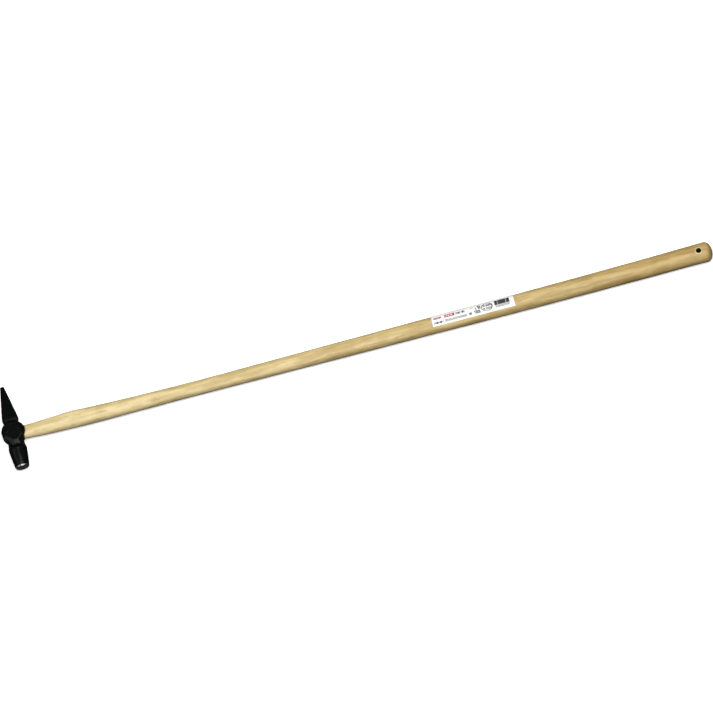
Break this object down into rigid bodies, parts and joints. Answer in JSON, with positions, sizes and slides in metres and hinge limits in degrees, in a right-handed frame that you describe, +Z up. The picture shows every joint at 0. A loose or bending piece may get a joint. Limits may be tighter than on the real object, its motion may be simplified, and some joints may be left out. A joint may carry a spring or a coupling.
{
  "type": "long-handled inspection hammer",
  "caption": "Long-handled inspection hammer: small black forged head with a round striking face and a cross peen, wedged on a slim wooden handle with a hanging hole.",
  "frame": {"origin": "centre of the lower cheek's flat face, straight below the eye's centre, with the hammer lying on its side", "axes": "+X along the handle from the eye to the butt, -Y out of the striking face, +Y towards the peen, +Z up, square to the cheeks"},
  "size_m": [0.9, 0.1068, 0.024],
  "materials": {
    "black_paint": "satin",
    "handle_wood": "satin",
    "wedge_wood": "matte",
    "wedge_steel": "satin",
    "label_paper": "satin"
  },
  "bodies": {
    "root": {"head": "black_paint", "handle": "handle_wood", "wood_wedge": "wedge_wood", "steel_wedge": "wedge_steel", "label": "label_paper"}
  },
  "joints": []
}
